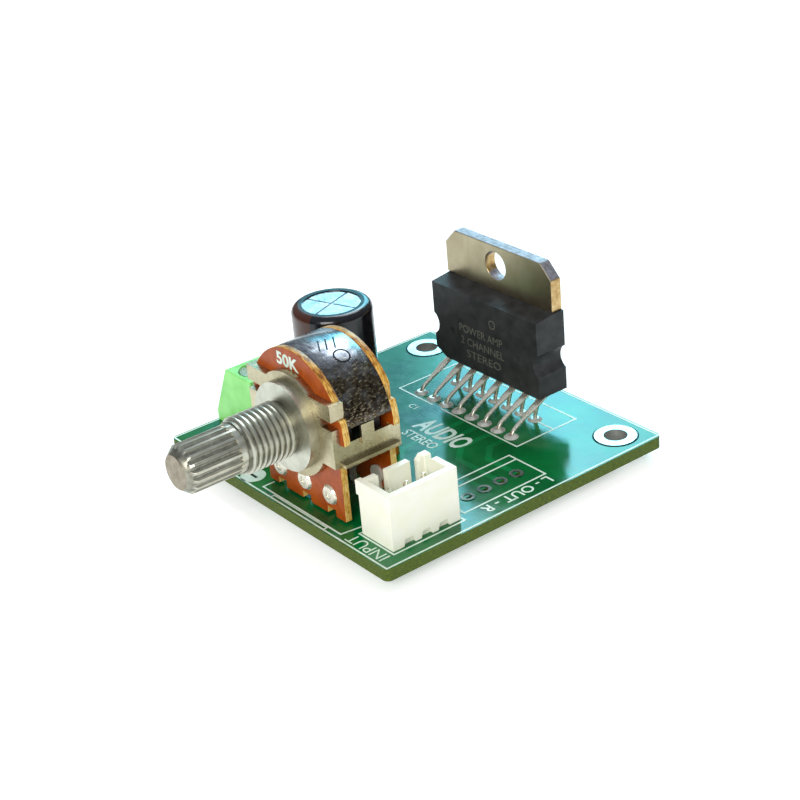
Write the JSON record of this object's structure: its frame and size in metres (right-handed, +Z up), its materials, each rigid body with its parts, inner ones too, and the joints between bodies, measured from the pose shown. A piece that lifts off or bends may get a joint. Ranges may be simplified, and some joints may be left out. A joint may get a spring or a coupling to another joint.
{
  "type": "audio amplifier board",
  "caption": "Small stereo audio amplifier board: dual volume control, tall power chip with tab, screw terminal, input header and capacitors on a green circuit board.",
  "frame": {"origin": "midway between the two mounting holes, on the underside of the board", "axes": "+X to the right as seen from the volume shaft's side, +Y from the volume shaft to the power chip, +Z up out of the component side"},
  "size_m": [0.045, 0.057, 0.0239],
  "materials": {
    "board": "glossy solder mask",
    "tinned_metal": "satin tin plate",
    "solder": "satin",
    "package": "moulded",
    "tab_metal": "plated, slightly stained",
    "plated_steel": "satin plating",
    "turned_metal": "turned",
    "phenolic": "pressed paper board",
    "dark_steel": "dark, worn",
    "carbon_film": "matte",
    "rotor_plastic": "moulded",
    "spring_brass": "satin",
    "green_plastic": "moulded",
    "ivory_plastic": "moulded",
    "can_metal": "satin",
    "black_sleeve": "glossy film",
    "rubber": "matte",
    "film_resin": "dipped resin",
    "resistor_coat": "lacquer"
  },
  "bodies": {
    "board": {"circuit_board": "board", "mounting_rings": "tinned_metal", "output_pads": "tinned_metal", "amplifier_body": "package", "amplifier_tab": "tab_metal", "amplifier_front_leads": "tinned_metal", "amplifier_rear_leads": "tinned_metal", "amplifier_collars": "solder", "amplifier_solder": "solder", "pot_bush": "turned_metal", "pot_frame": "plated_steel", "front_wafer": "phenolic", "rear_wafer": "phenolic", "pot_cover": "dark_steel", "front_terminals": "tinned_metal", "rear_terminals": "tinned_metal", "front_track": "carbon_film", "rear_track": "carbon_film", "pot_solder": "solder", "terminal_housing": "green_plastic", "terminal_contacts": "tinned_metal", "header_shell": "ivory_plastic", "header_pins": "tinned_metal", "connector_solder": "solder", "capacitor_can": "can_metal", "capacitor_sleeve": "black_sleeve", "capacitor_bung": "rubber", "capacitor_leads": "tinned_metal", "small_cans": "can_metal", "small_sleeves": "black_sleeve", "small_bungs": "rubber", "small_can_leads": "tinned_metal", "film_capacitors": "film_resin", "film_leads": "tinned_metal", "resistor_body": "resistor_coat", "resistor_lead": "tinned_metal", "passive_solder": "solder"},
    "volume": {"volume_shaft": "turned_metal", "volume_rotor": "rotor_plastic", "front_wiper": "spring_brass", "rear_wiper": "spring_brass"},
    "front_screw": {"front_screw": "plated_steel"},
    "rear_screw": {"rear_screw": "plated_steel"},
    "front_clamp": {"front_clamp": "plated_steel"},
    "rear_clamp": {"rear_clamp": "plated_steel"}
  },
  "joints": [
    {"name": "volume_turn", "type": "hinge", "parent": "board", "child": "volume", "pos_m": [0.0037, -0.0362, 0.0125], "axis": [0, 1, 0], "range_deg": [-150, 150]},
    {"name": "front_screw_turn", "type": "hinge", "parent": "board", "child": "front_screw", "pos_m": [-0.0161, -0.02936, 0.009], "axis": [0, 0, -1], "range_deg": [0, 1008]},
    {"name": "rear_screw_turn", "type": "hinge", "parent": "board", "child": "rear_screw", "pos_m": [-0.0161, -0.02428, 0.009], "axis": [0, 0, -1], "range_deg": [0, 1008]},
    {"name": "front_clamp_rise", "type": "slide", "parent": "board", "child": "front_clamp", "axis": [0, 0, 1], "range_m": [0, 0.0014]},
    {"name": "rear_clamp_rise", "type": "slide", "parent": "board", "child": "rear_clamp", "axis": [0, 0, 1], "range_m": [0, 0.0014]}
  ],
  "couplings": [
    {"joint": "front_screw_turn", "follows": "front_clamp_rise", "rad_per_m": 12566},
    {"joint": "rear_screw_turn", "follows": "rear_clamp_rise", "rad_per_m": 12566}
  ]
}
